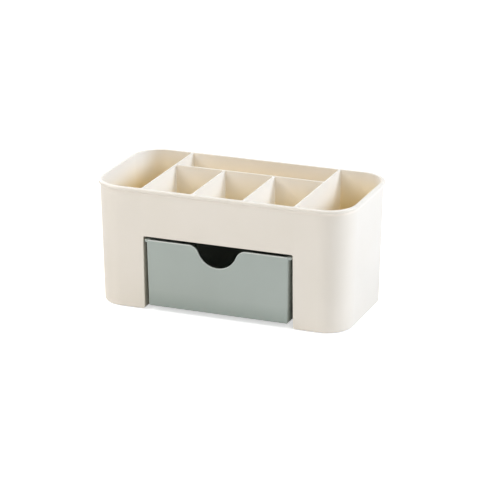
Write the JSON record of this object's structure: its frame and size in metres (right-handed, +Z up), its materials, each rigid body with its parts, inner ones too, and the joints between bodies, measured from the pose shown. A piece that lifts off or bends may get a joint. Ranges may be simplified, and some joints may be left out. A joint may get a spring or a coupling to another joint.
{
  "type": "makeup drawer box",
  "caption": "Open-topped desk box for makeup and jewellery: deep end wells, shallow compartments between them and a pull-out drawer with a finger notch underneath.",
  "frame": {"origin": "under the middle of the box, on the surface that its pads stand on", "axes": "+X to the right along the width, -Y out of the front where the drawer comes out, +Z up"},
  "size_m": [0.222, 0.112, 0.1033],
  "materials": {
    "cream_plastic": "satin",
    "sage_plastic": "satin",
    "runner_plastic": "matte",
    "pad_rubber": "matte"
  },
  "bodies": {
    "casing": {"body": "cream_plastic", "left_runner": "runner_plastic", "right_runner": "runner_plastic", "front_left_pad": "pad_rubber", "front_right_pad": "pad_rubber", "rear_left_pad": "pad_rubber", "rear_right_pad": "pad_rubber"},
    "tray": {"drawer": "sage_plastic"}
  },
  "joints": [
    {"name": "drawer_slide", "type": "slide", "parent": "casing", "child": "tray", "axis": [0, -1, 0], "range_m": [0, 0.07]}
  ]
}
